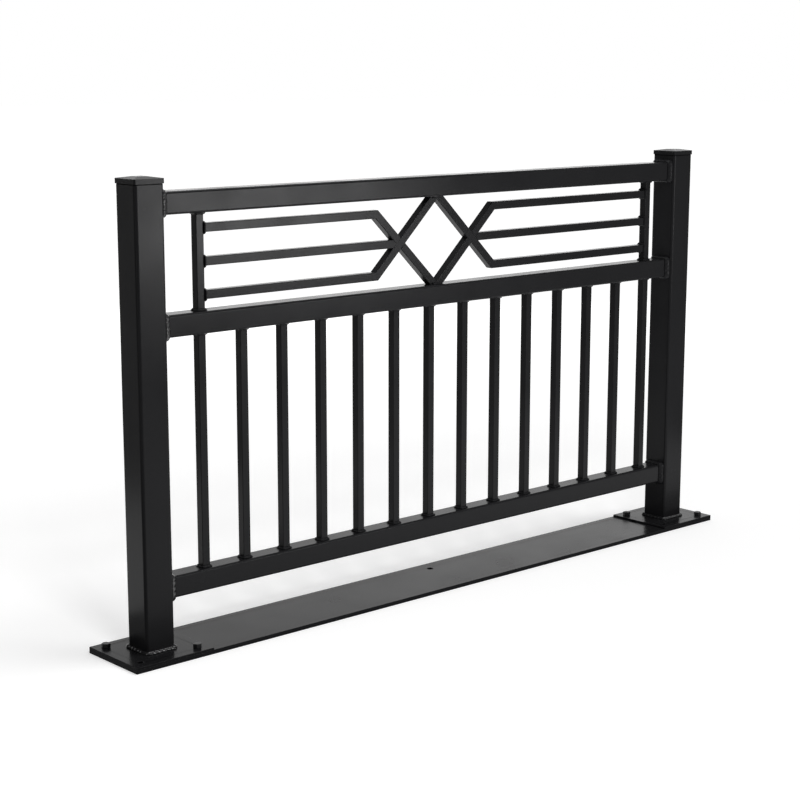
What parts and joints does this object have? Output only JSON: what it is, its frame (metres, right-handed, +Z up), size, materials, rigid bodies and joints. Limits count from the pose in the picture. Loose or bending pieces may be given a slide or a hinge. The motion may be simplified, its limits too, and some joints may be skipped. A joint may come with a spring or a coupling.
{
  "type": "street barrier",
  "caption": "Free-standing steel street barrier: capped square posts on a flat base, plain balusters, and a frieze of level bars crossing into a central diamond.",
  "frame": {"origin": "on the ground under the middle of the base strip", "axes": "+X along the barrier to its right end, +Y to its back, +Z up"},
  "size_m": [1.959, 0.19, 1.058],
  "materials": {
    "black_coating": "satin"
  },
  "bodies": {
    "root": {"baluster_01": "black_coating", "baluster_02": "black_coating", "baluster_03": "black_coating", "baluster_04": "black_coating", "baluster_05": "black_coating", "baluster_06": "black_coating", "baluster_07": "black_coating", "baluster_08": "black_coating", "baluster_09": "black_coating", "baluster_10": "black_coating", "baluster_11": "black_coating", "baluster_12": "black_coating", "baluster_13": "black_coating", "baluster_14": "black_coating", "base_strip": "black_coating", "bottom_rail": "black_coating", "frieze_left_inner_diagonal": "black_coating", "frieze_left_long_diagonal": "black_coating", "frieze_left_lower_bar": "black_coating", "frieze_left_middle_bar": "black_coating", "frieze_left_outer_diagonal": "black_coating", "frieze_left_upper_bar": "black_coating", "frieze_left_upright": "black_coating", "frieze_right_inner_diagonal": "black_coating", "frieze_right_long_diagonal": "black_coating", "frieze_right_lower_bar": "black_coating", "frieze_right_middle_bar": "black_coating", "frieze_right_outer_diagonal": "black_coating", "frieze_right_upper_bar": "black_coating", "frieze_right_upright": "black_coating", "left_foot_plate": "black_coating", "left_post": "black_coating", "left_post_cap": "black_coating", "middle_rail": "black_coating", "right_foot_plate": "black_coating", "right_post": "black_coating", "right_post_cap": "black_coating", "top_rail": "black_coating"}
  },
  "joints": []
}
